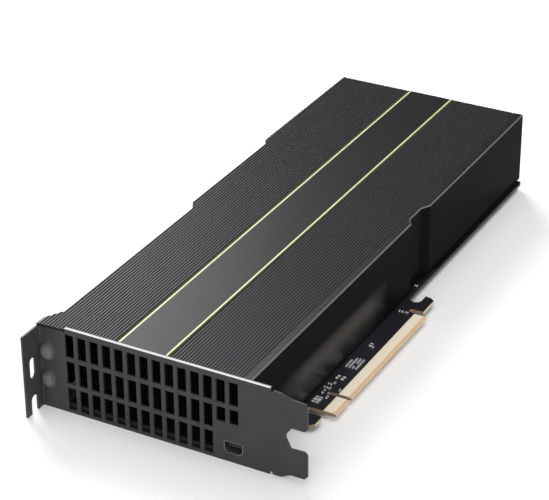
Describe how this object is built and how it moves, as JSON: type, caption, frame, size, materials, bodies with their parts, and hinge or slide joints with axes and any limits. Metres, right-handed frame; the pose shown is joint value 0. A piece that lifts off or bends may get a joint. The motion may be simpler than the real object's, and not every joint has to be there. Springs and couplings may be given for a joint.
{
  "type": "passive accelerator card",
  "caption": "Full-height dual-slot passive accelerator card: vented bracket, ribbed shroud over a fin stack, and a long edge connector.",
  "frame": {"origin": "middle of the bottom of the whole card's box, lying on its back plate", "axes": "+X from the mounting tab towards the edge connector, +Y from the bracket towards the tail, +Z from the back plate towards the shroud"},
  "size_m": [0.12, 0.2792, 0.0387],
  "materials": {
    "bracket_paint": "satin",
    "shroud_plastic": "satin",
    "accent": "satin",
    "board_laminate": "satin",
    "gold": "polished",
    "plate_paint": "matte",
    "film": "matte",
    "spring_steel": "satin",
    "screw_steel": "satin",
    "fin_metal": "matte",
    "chamber_metal": "satin",
    "substrate": "satin",
    "silicon": "polished",
    "chip_body": "matte",
    "soft_pad": "matte",
    "ferrite": "matte",
    "chip_ceramic": "matte",
    "socket_metal": "satin",
    "pin_metal": "polished"
  },
  "bodies": {
    "root": {"bracket": "bracket_paint", "shroud": "shroud_plastic", "accent_strip_left": "accent", "accent_strip_right": "accent", "circuit_board": "board_laminate", "edge_contacts_upper": "gold", "edge_contacts_lower": "gold", "backplate": "plate_paint", "insulation_film": "film", "clamp_frame": "spring_steel", "backplate_screws": "screw_steel", "bracket_screws": "screw_steel", "clamp_screws": "screw_steel", "fin_stack": "fin_metal", "vapor_chamber": "chamber_metal", "processor_substrate": "substrate", "package_stiffener": "spring_steel", "processor_die": "silicon", "memory_stacks": "silicon", "power_stages": "chip_body", "stage_pads": "soft_pad", "inductors": "ferrite", "inductor_pads": "soft_pad", "bulk_capacitors": "chip_body", "edge_chips": "chip_body", "coupling_capacitors": "chip_ceramic", "service_socket": "socket_metal", "socket_insert": "chip_body", "power_inlet": "chip_body", "power_inlet_pins": "pin_metal", "tail_bar": "plate_paint"}
  },
  "joints": []
}
